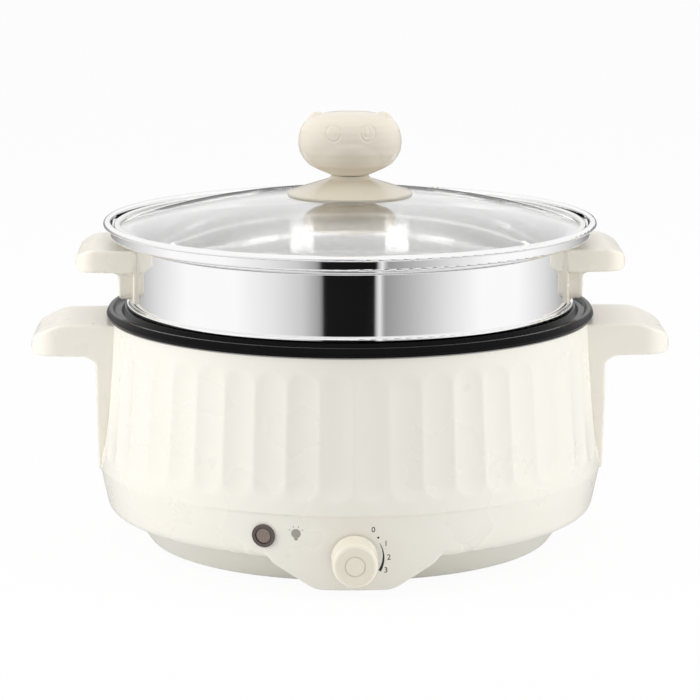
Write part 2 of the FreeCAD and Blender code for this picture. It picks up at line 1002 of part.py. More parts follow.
def control_wires():
    """Leads from the block to the thermostat, and from the thermostat to the lamp."""
    front_y = block_y - block_depth / 2
    rear_y = thermostat_front_y + thermostat_depth
    block_x = wire_r * 2 - block_width / 2
    rear_x = -thermostat_width / 4
    terminal_z = knob_z - thermostat_height / 4
    first = [
        V(block_x, front_y, wire_level()),
        V(block_x, front_y - 3 * wire_bend_r, wire_level()),
        V(-wire_side_x, fuse_y + wire_bend_r, wire_level()),
        V(rear_x, rear_y + 4 * wire_bend_r, wire_level()),
        V(rear_x, rear_y + 2 * wire_bend_r, terminal_z),
        V(rear_x, rear_y, terminal_z),
    ]
    seat, outward = lamp_axis()
    lamp_back = seat - outward * (lamp_tube_depth + neon_length)
    lamp_turn = lamp_back - outward * 2 * wire_bend_r
    middle_y = thermostat_front_y + thermostat_depth / 2
    second = [
        V(-thermostat_width / 2, middle_y, terminal_z),
        V(-thermostat_width / 2 - 2 * wire_bend_r, middle_y, terminal_z),
        lamp_turn,
        lamp_back,
    ]
    return [bent_tube(first, wire_r), bent_tube(second, wire_r)]


def grip_shape(inset):
    """The right handle's outside, or its hollow when drawn in."""
    front = front_prism(
        [
            (grip_root_x, grip_top_z - inset),
            (grip_flat_x, grip_top_z - inset, grip_top_bend_r),
            (grip_tip_x - inset, grip_tip_high_z, grip_nose_r),
            (grip_tip_x - inset, grip_tip_low_z + inset, grip_chin_r),
            (grip_under_x - inset, grip_tip_low_z + inset, grip_under_bend_r),
            (grip_leg_x - inset, grip_leg_top_z, grip_knee_r),
            (grip_leg_x - inset, grip_leg_low_z + inset, grip_foot_r),
            (grip_root_x, grip_leg_low_z + inset),
        ],
        -REACH,
        REACH,
    )
    tip = grip_tip_half_depth - inset
    root = grip_half_depth - inset
    plan = plan_prism(
        [
            (grip_root_x, -root),
            (grip_tip_x - inset, -tip, grip_corner_r - inset),
            (grip_tip_x - inset, tip, grip_corner_r - inset),
            (grip_root_x, root),
        ],
        0,
        REACH,
    )
    leg = grip_leg_half_depth - inset
    side = side_prism(
        [
            (root, REACH),
            (root, grip_flare_z, grip_flare_bend_r),
            (leg, grip_leg_low_z, grip_leg_corner_r),
            (-leg, grip_leg_low_z, grip_leg_corner_r),
            (-root, grip_flare_z, grip_flare_bend_r),
            (-root, REACH),
        ],
        0,
        REACH,
    )
    return front.common(plan).common(side)


def right_handle():
    """A hollow ear: a slab on a tapering leg, closed by the casing's wall."""
    casing = casing_outside()
    shell = grip_shape(0).cut(grip_shape(grip_wall))
    for y in (-grip_screw_y, grip_screw_y):
        start = V(grip_root_x, y, grip_screw_z)
        boss = rod(grip_boss_r, start, OUT_X, grip_boss_end_x - grip_root_x)
        shell = shell.fuse(boss)
        hole_start = V(casing_top_r - casing_wall, y, grip_screw_z)
        shell = shell.cut(rod(screw_r, hole_start, OUT_X, grip_screw_length))
    return shell.cut(casing)


def handle_screws():
    """Screws from inside the casing into the handles' posts."""
    screws = []
    head_x = math.sqrt((casing_top_r - casing_wall) ** 2 - (grip_screw_y + screw_head_r) ** 2)
    for y in (-grip_screw_y, grip_screw_y):
        screw = pan_head_screw(grip_screw_length)
        screw.rotate(V(0, 0, 0), BACK, 90)
        screw.translate(V(head_x, y, grip_screw_z))
        screws += both_sides(screw)
    return screws


def steamer_spigot_r():
    """The part that hangs in the pan's mouth."""
    return pan_mouth_r - steamer_spigot_play


def steamer_pan():
    sheet = steamer_sheet
    rim_in = steamer_recess_r
    shell = turned(
        [
            (0, steamer_floor_z),
            (steamer_spigot_r(), steamer_floor_z, 3),
            (steamer_spigot_r(), crest_z + seat_gap, 0.5),
            (steamer_bead_r, crest_z + seat_gap, 0.9),
            (steamer_bead_r, steamer_bead_z, 0.9),
            (steamer_wall_r, steamer_bead_z + 0.4, 0.4),
            (steamer_wall_r, steamer_step_z - sheet, 0.8),
            (steamer_neck_r, steamer_step_z, 0.8),
            (steamer_neck_r, steamer_seat_z - sheet, 0.4),
            (rim_in + sheet, steamer_seat_z - sheet, 1.5),
            (rim_in + sheet, steamer_rim_low_z, 0.2),
            (steamer_rim_r, steamer_rim_low_z, 1.3),
            (steamer_rim_r, steamer_rim_z, 1.6),
            (rim_in, steamer_rim_z, 1.2),
            (rim_in, steamer_seat_z, 1.5),
            (steamer_neck_r - sheet, steamer_seat_z, 0.4),
            (steamer_neck_r - sheet, steamer_step_z + sheet / 2, 0.4),
            (steamer_wall_r - sheet, steamer_step_z - sheet / 2, 0.4),
            (steamer_wall_r - sheet, steamer_bead_z, 0.4),
            (steamer_spigot_r() - sheet, crest_z + seat_gap + sheet, 0.4),
            (steamer_spigot_r() - sheet, steamer_floor_z + sheet, 2),
            (0, steamer_floor_z + sheet),
        ]
    )
    holes = [rod(steamer_hole_r, V(0, 0, steamer_floor_z - 1), UP, 3 * sheet)]
    for ring in range(1, steamer_hole_rings + 1):
        start = V(ring * steamer_hole_pitch, 0, steamer_floor_z - 1)
        holes += repeated(rod(steamer_hole_r, start, UP, 3 * sheet), 6 * ring)
    return shell.cut(holes)


def ear_shape():
    """The right steamer handle's outside: a slab on a narrow leg."""
    front = front_prism(
        [
            (grip_root_x, ear_top_z),
            (ear_flat_x, ear_top_z, ear_top_bend_r),
            (ear_tip_x, ear_tip_high_z, ear_nose_r),
            (ear_tip_x, ear_under_z, ear_chin_r),
            (ear_leg_x, ear_under_z, ear_knee_r),
            (ear_leg_x, ear_leg_low_z, ear_knee_r),
            (grip_root_x, ear_leg_low_z),
        ],
        -REACH,
        REACH,
    )
    plan = plan_prism(
        [
            (grip_root_x, -ear_half_depth),
            (ear_tip_x, -ear_tip_half_depth, ear_corner_r),
            (ear_tip_x, ear_tip_half_depth, ear_corner_r),
            (grip_root_x, ear_half_depth),
        ],
        0,
        REACH,
    )
    side = side_prism(
        [
            (ear_half_depth, REACH),
            (ear_half_depth, ear_under_z, ear_side_bend_r),
            (ear_leg_half_depth, ear_under_z, ear_side_knee_r),
            (ear_leg_half_depth, ear_leg_low_z, ear_leg_corner_r),
            (-ear_leg_half_depth, ear_leg_low_z, ear_leg_corner_r),
            (-ear_leg_half_depth, ear_under_z, ear_side_knee_r),
            (-ear_half_depth, ear_under_z, ear_side_bend_r),
            (-ear_half_depth, REACH),
        ],
        0,
        REACH,
    )
    return front.common(plan).common(side)


def steamer_right_handle():
    handle = ear_shape()
    handle = handle.cut(rod(steamer_wall_r + ear_plate, V(0, 0, 0), UP, REACH))
    head_x = ear_leg_x - ear_screw_head_depth
    handle = handle.cut(rod(screw_head_r + fit_gap, V(head_x, 0, ear_screw_z), OUT_X, REACH))
    return handle.cut(rod(screw_r, V(grip_root_x, 0, ear_screw_z), OUT_X, REACH))


def steamer_handle_brackets():
    """Thin curved plates welded to the steamer's wall behind each handle."""
    plate = turned(
        [
            (steamer_wall_r, ear_leg_low_z - ear_plate_margin),
            (steamer_wall_r + ear_plate, ear_leg_low_z - ear_plate_margin),
            (steamer_wall_r + ear_plate, ear_top_z - ear_plate_margin),
            (steamer_wall_r, ear_top_z - ear_plate_margin),
        ]
    )
    plate = plate.common(
        block((0, -ear_plate_half_depth, 0), (REACH, ear_plate_half_depth, REACH))
    )
    plate = plate.cut(rod(screw_r, V(grip_root_x, 0, ear_screw_z), OUT_X, REACH))
    return both_sides(plate)


def steamer_handle_screws():
    screw = pan_head_screw(ear_leg_x - ear_screw_head_depth - steamer_wall_r - fit_gap / 2)
    screw.rotate(V(0, 0, 0), BACK, -90)
    screw.translate(V(ear_leg_x - ear_screw_head_depth, 0, ear_screw_z))
    return both_sides(screw)


def glass_ball(inset):
    """The ball whose top is the lid's dome, drawn in by inset."""
    return Part.makeSphere(glass_sphere_r - inset, V(0, 0, glass_top_z - glass_sphere_r))


def glass_height(radius, inset=0.0):
    return glass_top_z - glass_sphere_r + math.sqrt((glass_sphere_r - inset) ** 2 - radius**2)


def glass_blank():
    tall = rod(glass_r, V(0, 0, lid_skirt_low_z), UP, 2 * (glass_top_z - lid_skirt_low_z))
    return glass_ball(0).common(tall).cut(glass_ball(glass_thickness))


def vent_axis():
    """The vent's place on the dome and the direction square to the glass there."""
    centre = V(0, 0, glass_top_z - glass_sphere_r)
    top = V(vent_x, vent_y, glass_height(math.hypot(vent_x, vent_y)))
    return top, (top - centre).normalize()


def lid_glass():
    blank = glass_blank().cut(rod(glass_hole_r, V(0, 0, 0), UP, REACH))
    top, outward = vent_axis()
    return blank.cut(rod(vent_hole_r, top - outward * 2 * glass_thickness, outward, REACH))


def lid_rim():
    """The steel band folded round the glass, with a skirt that centres it in the steamer."""
    low_z = steamer_seat_z + seat_gap
    skirt_r = steamer_neck_r - steamer_sheet - lid_skirt_play
    band = turned(
        [
            (skirt_r - lid_ring_sheet, lid_skirt_low_z),
            (skirt_r, lid_skirt_low_z),
            (skirt_r, low_z, 0.3),
            (steamer_seat_r - 1.5, low_z, 0.6),
            (lid_ring_r, steamer_rim_low_z - 1.6, 0.6),
            (lid_ring_r, lid_ring_top_z, 0.9),
            (lid_ring_window_r, lid_ring_top_z, 0.4),
            (lid_ring_window_r, low_z + lid_ring_sheet),
            (skirt_r - lid_ring_sheet, low_z + lid_ring_sheet, 0.4),
        ]
    )
    return band.cut(glass_blank())


def lid_knob_flange():
    """The saucer that shields the glass, with the neck that carries the head."""
    hole_r = knob_screw_r + fit_gap
    saucer = turned(
        [
            (hole_r, glass_top_z - glass_thickness),
            (saucer_r - 1, glass_height(saucer_r) - glass_thickness),
            (saucer_r, glass_height(saucer_r) + seat_gap, 0.3),
            (saucer_r, glass_height(saucer_r) + seat_gap + saucer_edge, 0.4),
            (neck_low_r, neck_low_z, 3),
            (neck_r, neck_z),
            (hole_r, neck_z),
        ]
    )
    return saucer.cut(glass_ball(0))


def squashed(shape, share):
    matrix = FreeCAD.Matrix()
    matrix.scale(V(1, share, 1))
    return shape.transformGeometry(matrix)


def lid_knob_head():
    edges = [
        Part.makeLine(V(0, 0, neck_z), V(neck_r, 0, neck_z)),
        Part.Arc(
            V(neck_r, 0, neck_z),
            V(head_cheek_r, 0, head_cheek_z),
            V(head_half_width, 0, head_wide_z),
        ).toShape(),
        Part.Arc(
            V(head_half_width, 0, head_wide_z),
            V(head_brow_r, 0, head_brow_z),
            V(head_crown_r, 0, head_crown_z),
        ).toShape(),
        Part.Arc(
            V(head_crown_r, 0, head_crown_z),
            V(head_crown_r / 2, 0, (head_crown_z + 3 * head_top_z) / 4),
            V(0, 0, head_top_z),
        ).toShape(),
        Part.makeLine(V(0, 0, head_top_z), V(0, 0, neck_z)),
    ]
    head = Part.Face(Part.Wire(edges)).revolve(V(0, 0, 0), UP, 360)
    head = squashed(head, head_depth_share)
    ball = Part.makeSphere(ear_ball_r, V(ear_ball_x, 0, ear_ball_z))
    head = head.fuse(both_sides(ball))
    return head.cut(rod(knob_screw_r, V(0, 0, 0), UP, neck_z + knob_screw_depth))


def washer_top_z():
    return glass_height(knob_washer_r, glass_thickness)


def lid_knob_washer():
    top_z = washer_top_z()
    washer = rod(knob_washer_r, V(0, 0, top_z - knob_washer_thickness), UP, knob_washer_thickness)
    return washer.cut(rod(knob_screw_r, V(0, 0, 0), UP, REACH))


def lid_knob_screw():
    seat_z = washer_top_z() - knob_washer_thickness
    head = rod(
        knob_screw_head_r, V(0, 0, seat_z - knob_screw_head_height), UP, knob_screw_head_height
    )
    length = neck_z + knob_screw_depth - seat_z
    return head.fuse(rod(knob_screw_r, V(0, 0, seat_z), UP, length))


def lid_vent_eyelet():
    """A rolled steel eyelet through the glass, square to the dome."""
    top, outward = vent_axis()
    under = top - outward * (glass_thickness + vent_flange + fit_gap / 4)
    body = rod(vent_hole_r, under, outward, glass_thickness + 2 * vent_flange)
    body = body.fuse(rod(vent_eyelet_r, top, outward, vent_flange))
    body = body.fuse(rod(vent_eyelet_r, under, outward, vent_flange))
    return body.cut(rod(vent_hole_r / 2, under - outward, outward, 3 * glass_thickness))


def main():
    os.makedirs("parts", exist_ok=True)
    right = right_handle()
    ear = steamer_right_handle()
    save("outer_casing", outer_casing())
    save("base_cover", base_cover())
    save("rubber_feet", rubber_feet())
    save("base_screws", base_screws())
    save("pan_screws", pan_screws())
    save("pan_studs", pan_studs())
    save("spacer_sleeves", spacer_sleeves())
    save("shield_clips", shield_clips())
    save("inner_pan", inner_pan())
    save("pan_gasket", pan_gasket())
    save("heating_plate", heating_plate())
    save("heating_element", heating_element())
    save("heater_terminals", heater_terminals())
    save("heat_shield", heat_shield())
    save("thermal_fuse", thermal_fuse())
    save("fuse_clip", fuse_clip())
    save("thermostat_body", thermostat_body())
    save("thermostat_bracket", thermostat_bracket())
    save("bush_nut", bush_nut())
    save("sensor_bulb", sensor_bulb())
    save("capillary_tube", capillary_tube())
    save("control_knob", control_knob())
    save("thermostat_shaft", thermostat_shaft())
    save("indicator_bezel", indicator_bezel())
    save("indicator_lens", indicator_lens())
    save("neon_lamp", neon_lamp())
    save("inlet_hood", inlet_hood())
    save("power_inlet", power_inlet())
    save("inlet_pins", inlet_pins())
    save("terminal_block", terminal_block())
    save("inlet_wires", inlet_wires())
    save("heater_wires", heater_wires())
    save("control_wires", control_wires())
    save("right_handle", right)
    save("left_handle", mirrored(right))
    save("handle_screws", handle_screws())
    save("steamer_pan", steamer_pan())
    save("steamer_right_handle", ear)
    save("steamer_left_handle", mirrored(ear))
    save("steamer_handle_brackets", steamer_handle_brackets())
    save("steamer_handle_screws", steamer_handle_screws())
    save("lid_glass", lid_glass())
    save("lid_rim", lid_rim())
    save("lid_knob_flange", lid_knob_flange())
    save("lid_knob_head", lid_knob_head())
    save("lid_knob_washer", lid_knob_washer())
    save("lid_knob_screw", lid_knob_screw())
    save("lid_vent_eyelet", lid_vent_eyelet())


main()
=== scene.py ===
import math

import bmesh
import bpy
from mathutils import Matrix, Vector


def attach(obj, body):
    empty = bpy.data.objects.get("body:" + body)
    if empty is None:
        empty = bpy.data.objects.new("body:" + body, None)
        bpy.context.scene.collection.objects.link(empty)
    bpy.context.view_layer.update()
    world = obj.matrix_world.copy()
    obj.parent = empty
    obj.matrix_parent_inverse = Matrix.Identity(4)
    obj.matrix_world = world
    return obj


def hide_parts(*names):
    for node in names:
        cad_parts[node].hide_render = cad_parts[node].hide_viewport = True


# Metres and degrees. The pot's axis is Z and the control panel faces -Y.

# Camera
camera_distance = 1.895
camera_elevation = 10.75
camera_azimuth = -1.0
camera_target_z = 0.1106
camera_focal_px = 3283.0
picture_px = 700.0
sensor_mm = 36.0

# Pieces
sharp_angle = 38.0

# Studio
lamp_target = (0, 0, 0.1)
even_light = 0.52
studio_above = 255
studio_below = 238
studio_rise = (0.02, 0.16)
studio_fall = (-0.30, -0.50)
floor_half_size = 6.0
floor_glow_share = 0.95

# Casing, as in the frame
casing_top_z = 0.1315
casing_top_r = 0.1380
belly_r = 0.1447
belly_z = 0.0470
belly_rows = (0.0530, 0.0520, 0.0510, 0.0500, 0.0490, 0.0480, 0.0474)
panel_axis_y = 0.0060
panel_top_z = 0.0470
panel_top_r = 0.1493
panel_low_z = 0.0042
panel_low_r = 0.1450
panel_half_width = 0.0800
apron_lip_half_width = 0.0496
apron_foot_half_width = 0.0220
apron_corner_r = 0.0180
lip_z = 0.0206
lip_outer_r = 0.1392
lip_inner_r = 0.1279
lip_bend_r = 0.0050
lip_lean = 0.0020
lip_inside_r = 0.1335
lip_floor_r = 0.1315
apron_hang = 0.0030
apron_edge_rise = 0.0003
top_band = 0.0015
belly_bend_r = 0.0060
casing_wall = 0.0024
flute_count = 48
flute_low_z = 0.0540
flute_high_z = 0.1240
flute_depth = 0.0010
flute_end = 0.0100
flute_margin = 0.0010
crease = 0.0012
columns_per_flute = 16
rows_per_flute_end = 8
rows_per_flute = 8
rows_below_panel_top = 14
rows_round_lip = 6

# Handles
steamer_wall_r = 0.1262
ear_plate = 0.0014
seat_reach = 0.0003
handle_push = 0.0018
ear_push = 0.0008
handle_weld = 0.00005
handle_voxel = 0.0007
handle_smoothing = 12

# Inlet at the back
inlet_z = 0.0346
inlet_half_width = 0.0152
inlet_half_height = 0.0102
inlet_cut_near_y = 0.10
inlet_cut_far_y = 0.20

# Dial and lamp
dial_z = 0.0233
scale_r = 0.0157
scale_dot_angle = 49.0
scale_low_angle = 60.0
scale_high_angle = 120.0
scale_steps = 24
scale_half_width_low = 0.00010
scale_widening = 0.0007
scale_dot_r = 0.0006
scale_dot_shift = 0.0012
number_r = 0.0186
number_size = 0.0044
number_angles = (33.0, 66.0, 91.0, 114.0)
print_lift = 0.00006
print_depth = 0.00016
lamp_x = -0.0490
lamp_z = 0.0340
lamp_lens_r = 0.0046
lamp_tube_depth = 0.0050
lens_proud = 0.0009
lens_ridge_pitch = 0.0009
lens_ridge_height = 0.00035
lens_rings = 18
lens_segments = 72
lens_edge_steepness = 6
icon_x = -0.0316
icon_z = 0.0352
icon_bulb_shift = 0.0010
icon_bulb_r = 0.0026
icon_cap_half_width = 0.0010
icon_cap_low = 0.0028
icon_cap_high = 0.0014
icon_ray_angles = (-60, -20, 20, 60)
icon_ray_start = 0.0034
icon_ray_length = 0.0011
icon_ray_half_width = 0.00018
disc_steps = 12
disc_reach = 88.0

# Lid knob
head_half_width = 0.0295
head_half_depth = 0.0212
head_neck_z = 0.2161
head_neck_depth_share = 0.9
head_segments = 96
head_voxel = 0.00045
head_smoothing = 14
head_ear_x = 0.0186
head_ear_z = 0.2424
head_ear_size = (0.0062, 0.0050, 0.0064)
ball_rings = 14
face_front_y = 0.0040
face_fade = 0.0060
muzzle_half_width = 0.0175
muzzle_half_height = 0.0110
muzzle_z = 0.2225
muzzle_proud = 0.0009
eye_groove_width = 0.0005
# Each eye's rings: sideways, height, half width, half height and depth
eye_outer = (0.0098, 0.2384, 0.0041, 0.0044, 0.00032)
eye_inner = (0.0090, 0.2392, 0.0017, 0.0027, 0.00022)


def linear(red, green, blue):
    """A colour given as 0 to 255 screen values, as the shader's linear values."""
    values = []
    for channel in (red, green, blue):
        share = channel / 255.0
        values.append(share / 12.92 if share <= 0.04045 else ((share + 0.055) / 1.055) ** 2.4)
    return (*values, 1.0)


def add_node(tree, kind, **settings):
    """A shader node; a setting is a socket's value where a socket has its name, else a property."""
    node = tree.nodes.new(kind)
    for key, value in settings.items():
        if key in node.inputs:
            node.inputs[key].default_value = value
        else:
            setattr(node, key, value)
    return node


def shader(name, **sockets):
    """A material with one Principled shader; sockets are set by their names."""
    material = bpy.data.materials.new(name)
    material.use_nodes = True
    tree = material.node_tree
    principled = tree.nodes["Principled BSDF"]
    for key, value in sockets.items():
        principled.inputs[key.replace("_", " ")].default_value = value
    return material, tree, principled


def object_noise(tree, scale, detail=3.0, stretch=(1.0, 1.0, 1.0)):
    """Noise that sits on the object, stretched by axis."""
    place = add_node(tree, "ShaderNodeTexCoord")
    mapping = add_node(tree, "ShaderNodeMapping")
    mapping.inputs["Scale"].default_value = stretch
    noise = add_node(tree, "ShaderNodeTexNoise", Scale=scale, Detail=detail)
    tree.links.new(place.outputs["Object"], mapping.inputs["Vector"])
    tree.links.new(mapping.outputs["Vector"], noise.inputs["Vector"])
    return noise.outputs["Fac"]


def vary_colour(tree, principled, colour, other, scale):
    """Drifts the base colour between two near tones."""
    mix = add_node(tree, "ShaderNodeMix", data_type="RGBA")
    mix.inputs[6].default_value = colour
    mix.inputs[7].default_value = other
    tree.links.new(object_noise(tree, scale), mix.inputs[0])
    tree.links.new(mix.outputs[2], principled.inputs["Base Color"])


def vary_roughness(tree, principled, low, high, scale):
    """Drifts the roughness between low and high."""
    span = add_node(tree, "ShaderNodeMapRange")
    span.inputs["From Min"].default_value = 0.3
    span.inputs["From Max"].default_value = 0.7
    span.inputs["To Min"].default_value = low
    span.inputs["To Max"].default_value = high
    tree.links.new(object_noise(tree, scale, 4.0), span.inputs["Value"])
    tree.links.new(span.outputs["Result"], principled.inputs["Roughness"])


def add_bump(tree, principled, height, distance, strength):
    """Tilts the shading by a height pattern; the mesh stays as it is."""
    bump = add_node(tree, "ShaderNodeBump", Distance=distance, Strength=strength)
    tree.links.new(height, bump.inputs["Height"])
    tree.links.new(bump.outputs["Normal"], principled.inputs["Normal"])


def moulded(name, colour, other, low, high, grain):
    """Moulded plastic: a slow drift of tone, patchy gloss and a fine spark-eroded grain."""
    material, tree, principled = shader(name, IOR=1.46, Coat_Weight=0.12, Coat_Roughness=0.22)
    vary_colour(tree, principled, linear(*colour), linear(*other), 22.0)
    vary_roughness(tree, principled, low, high, 25.0)
    add_bump(tree, principled, object_noise(tree, 260.0, 2.0), 0.00002, grain)
    return material


def polished(name, colour, low, high, lines):
    """Polished sheet steel with faint turning lines round the axis."""
    material, tree, principled = shader(name, Metallic=1.0)
    vary_colour(tree, principled, linear(*colour), linear(*(c - 5 for c in colour)), 30.0)
    vary_roughness(tree, principled, low, high, 45.0)
    height = object_noise(tree, 1.0, 2.0, (6.0, 6.0, 2500.0))
    add_bump(tree, principled, height, 0.00001, lines)
    return material


def make_materials():
    """All finishes by their short names."""
    made = {}
    made["casing"] = moulded("casing_cream", (243, 240, 231), (241, 238, 228), 0.26, 0.30, 0.0)
    made["handle"] = moulded("handle_cream", (248, 244, 234), (246, 241, 230), 0.26, 0.31, 0.05)
    made["ear"] = moulded("ear_cream", (248, 243, 230), (246, 240, 226), 0.24, 0.30, 0.05)
    made["knob"] = moulded("knob_beige", (236, 228, 213), (234, 225, 209), 0.18, 0.24, 0.05)
    made["saucer"] = moulded("saucer_beige", (216, 208, 191), (213, 205, 187), 0.18, 0.24, 0.05)
    made["dial"] = moulded("dial_cream", (242, 236, 221), (239, 232, 216), 0.20, 0.26, 0.10)
    made["base"] = moulded("base_grey", (234, 232, 222), (230, 228, 217), 0.36, 0.44, 0.25)
    made["steel"] = polished("steamer_steel", (252, 252, 252), 0.04, 0.07, 0.04)
    made["band"] = polished("band_steel", (244, 244, 243), 0.06, 0.10, 0.06)
    made["zinc"] = polished("zinc_steel", (196, 198, 202), 0.28, 0.40, 0.20)
    made["non_stick"] = non_stick()
    made["glass"] = clear_glass()
    made["rubber"] = moulded("foot_rubber", (52, 51, 50), (44, 43, 42), 0.55, 0.7, 0.5)
    made["silicone"] = moulded("grey_silicone", (160, 158, 154), (150, 148, 144), 0.5, 0.6, 0.3)
    made["black"] = moulded("black_plastic", (40, 40, 41), (32, 32, 33), 0.38, 0.5, 0.4)
    made["brown"] = moulded("phenolic_brown", (88, 62, 44), (76, 52, 36), 0.4, 0.5, 0.4)
    made["wire"] = moulded("wire_sleeve", (222, 219, 212), (212, 208, 200), 0.4, 0.5, 0.2)
    made["brass"] = polished("brass", (222, 190, 120), 0.25, 0.38, 0.2)
    made["aluminium"] = polished("cast_aluminium", (204, 205, 207), 0.4, 0.55, 0.4)
    made["bezel"] = moulded("lamp_bezel", (92, 84, 80), (82, 74, 70), 0.16, 0.24, 0.05)
    made["lens"] = moulded("lamp_lens", (150, 136, 128), (138, 123, 115), 0.12, 0.2, 0.05)
    made["print"] = moulded("dark_print", (46, 46, 48), (38, 38, 40), 0.45, 0.55, 0.05)
    made["grey_print"] = moulded("grey_print", (168, 164, 156), (160, 156, 148), 0.45, 0.55, 0.05)
    return made


def non_stick():
    """Black non-stick coating with a fine pale fleck."""
    material, tree, principled = shader("non_stick", IOR=1.45, Specular_IOR_Level=0.09)
    ramp = add_node(tree, "ShaderNodeValToRGB")
    ramp.color_ramp.elements[0].position = 0.62
    ramp.color_ramp.elements[0].color = linear(9, 9, 10)
    ramp.color_ramp.elements[1].position = 0.74
    ramp.color_ramp.elements[1].color = linear(20, 20, 21)
    tree.links.new(object_noise(tree, 900.0, 1.0), ramp.inputs["Fac"])
    tree.links.new(ramp.outputs["Color"], principled.inputs["Base Color"])
    vary_roughness(tree, principled, 0.14, 0.20, 80.0)
    add_bump(tree, principled, object_noise(tree, 500.0, 2.0), 0.00001, 0.10)
    return material


def clear_glass():
    """Glass with a reflecting coat, as a lid's dome mirrors its knob at a low angle."""
    material, tree, principled = shader(
        "clear_glass",
        IOR=1.5,
        Transmission_Weight=1.0,
        Coat_Weight=1.0,
        Coat_IOR=1.8,
        Coat_Roughness=0.0,
    )
    principled.inputs["Base Color"].default_value = linear(255, 255, 254)
    vary_roughness(tree, principled, 0.0, 0.012, 20.0)
    return material


node_finish = {
    "casing": ["outer_casing", "inlet_hood"],
    "handle": ["left_handle", "right_handle"],
    "ear": ["steamer_left_handle", "steamer_right_handle", "steamer_handle_brackets"],
    "knob": ["lid_knob_head"],
    "saucer": ["lid_knob_flange"],
    "dial": ["control_knob"],
    "base": ["base_cover"],
    "steel": ["steamer_pan"],
    "band": ["lid_rim", "lid_vent_eyelet"],
    "zinc": [
        "base_screws",
        "pan_screws",
        "pan_studs",
        "spacer_sleeves",
        "shield_clips",
        "fuse_clip",
        "thermostat_bracket",
        "thermostat_shaft",
        "handle_screws",
        "steamer_handle_screws",
        "lid_knob_screw",
        "heating_element",
        "heat_shield",
    ],
    "non_stick": ["inner_pan"],
    "glass": ["lid_glass", "neon_lamp"],
    "rubber": ["rubber_feet"],
    "silicone": ["pan_gasket", "lid_knob_washer"],
    "black": ["power_inlet"],
    "brown": ["terminal_block", "thermostat_body", "thermal_fuse"],
    "wire": ["inlet_wires", "heater_wires", "control_wires"],
    "brass": ["heater_terminals", "inlet_pins", "bush_nut", "sensor_bulb", "capillary_tube"],
    "aluminium": ["heating_plate"],
    "bezel": ["indicator_bezel"],
    "lens": ["indicator_lens"],
}


def dress_nodes(frame, finishes):
    """Gives each node of the frame its finish."""
    for finish, names in node_finish.items():
        for name in names:
            mesh = frame["nodes"][name].data
            mesh.materials.clear()
            mesh.materials.append(finishes[finish])


def make_camera():
    """The photograph's view: a long lens, a little above the pot."""
    data = bpy.data.cameras.new("camera")
    data.sensor_width = sensor_mm
    data.lens = camera_focal_px * sensor_mm / picture_px
    data.clip_end = 20.0
    camera = bpy.data.objects.new("camera", data)
    bpy.context.scene.collection.objects.link(camera)
    azimuth = math.radians(camera_azimuth)
    elevation = math.radians(camera_elevation)
    back = Vector(
        (
            math.sin(azimuth) * math.cos(elevation),
            -math.cos(azimuth) * math.cos(elevation),
            math.sin(elevation),
        )
    )
    camera.location = Vector((0, 0, camera_target_z)) + back * camera_distance
    camera.rotation_euler = (-back).to_track_quat("-Z", "Y").to_euler()
    bpy.context.scene.camera = camera


def soft_box(name, place, target, width, height, power):
    """A lamp with a soft edge that neither the camera nor a reflection shows."""
    data = bpy.data.lights.new(name, "AREA")
    data.shape = "RECTANGLE"
    data.size = width
    data.size_y = height
    data.energy = power
    lamp = bpy.data.objects.new(name, data)
    bpy.context.scene.collection.objects.link(lamp)
    lamp.location = place
    lamp.rotation_euler = (Vector(target) - Vector(place)).to_track_quat("-Z", "Y").to_euler()
    lamp.visible_camera = False
    lamp.visible_glossy = False
    return lamp


def make_lamps():
    """A large lamp on each side and one above."""
    soft_box("left_box", (-1.6, -0.35, 0.7), lamp_target, 1.2, 1.2, 15.0)
    soft_box("right_box", (1.6, -0.35, 0.7), lamp_target, 1.2, 1.2, 13.0)
    soft_box("top_box", (0, -0.1, 1.8), lamp_target, 1.4, 1.4, 8.0)


def make_world():
    """White to the eye; a grey and white studio to reflections; even light to the rest."""
    world = bpy.data.worlds.new("studio")
    bpy.context.scene.world = world
    world.use_nodes = True
    tree = world.node_tree
    tree.nodes.clear()
    out = add_node(tree, "ShaderNodeOutputWorld")
    path = add_node(tree, "ShaderNodeLightPath")
    even = add_node(tree, "ShaderNodeBackground", Strength=even_light)
    even.inputs["Color"].default_value = (1, 1, 1, 1)
    white = add_node(tree, "ShaderNodeBackground", Strength=1.0)
    white.inputs["Color"].default_value = (1, 1, 1, 1)
    studio = add_node(tree, "ShaderNodeBackground", Strength=1.0)
    tree.links.new(studio_colour(tree), studio.inputs["Color"])
    glossy = add_node(tree, "ShaderNodeMixShader")
    tree.links.new(path.outputs["Is Glossy Ray"], glossy.inputs[0])
    tree.links.new(even.outputs[0], glossy.inputs[1])
    tree.links.new(studio.outputs[0], glossy.inputs[2])
    seen = add_node(tree, "ShaderNodeMath", operation="MAXIMUM")
    tree.links.new(path.outputs["Is Camera Ray"], seen.inputs[0])
    tree.links.new(path.outputs["Is Transmission Ray"], seen.inputs[1])
    both = add_node(tree, "ShaderNodeMixShader")
    tree.links.new(seen.outputs[0], both.inputs[0])
    tree.links.new(glossy.outputs[0], both.inputs[1])
    tree.links.new(white.outputs[0], both.inputs[2])
    tree.links.new(both.outputs[0], out.inputs["Surface"])


# The studio that metal reflects: bearing from the front in degrees, and tone
studio_stops = [
    (-180, 120),
    (-150, 170),
    (-120, 225),
    (-95, 255),
    (-62, 255),
    (-40, 232),
    (-25, 205),
    (-16, 155),
    (-14, 24),
    (12, 22),
    (13, 240),
    (14.5, 240),
    (16, 150),
    (30, 185),
    (50, 228),
    (70, 255),
    (95, 255),
    (120, 225),
    (150, 160),
    (180, 120),
]


